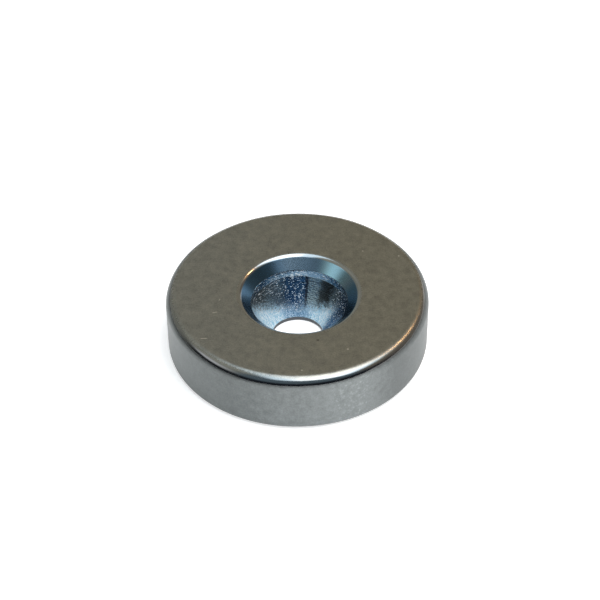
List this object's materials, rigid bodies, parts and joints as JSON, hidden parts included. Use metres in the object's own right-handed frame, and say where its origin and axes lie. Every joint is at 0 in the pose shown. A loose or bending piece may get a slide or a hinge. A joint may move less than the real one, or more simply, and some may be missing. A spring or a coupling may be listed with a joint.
{
  "type": "countersunk disc magnet",
  "caption": "Round plated disc magnet with tumbled edges and a central countersunk screw hole, held by a flat-head screw so that a steel part, door or lid clings to its face.",
  "frame": {"origin": "centre of the back face, on the axis of the hole", "axes": "+Z along the hole, from the back face towards the countersunk front face; X and Y lie in the back face"},
  "size_m": [0.025, 0.025, 0.006],
  "materials": {
    "plating": "satin bright plating, bluish in the countersink"
  },
  "bodies": {
    "root": {"magnet_disc": "plating"}
  },
  "joints": []
}
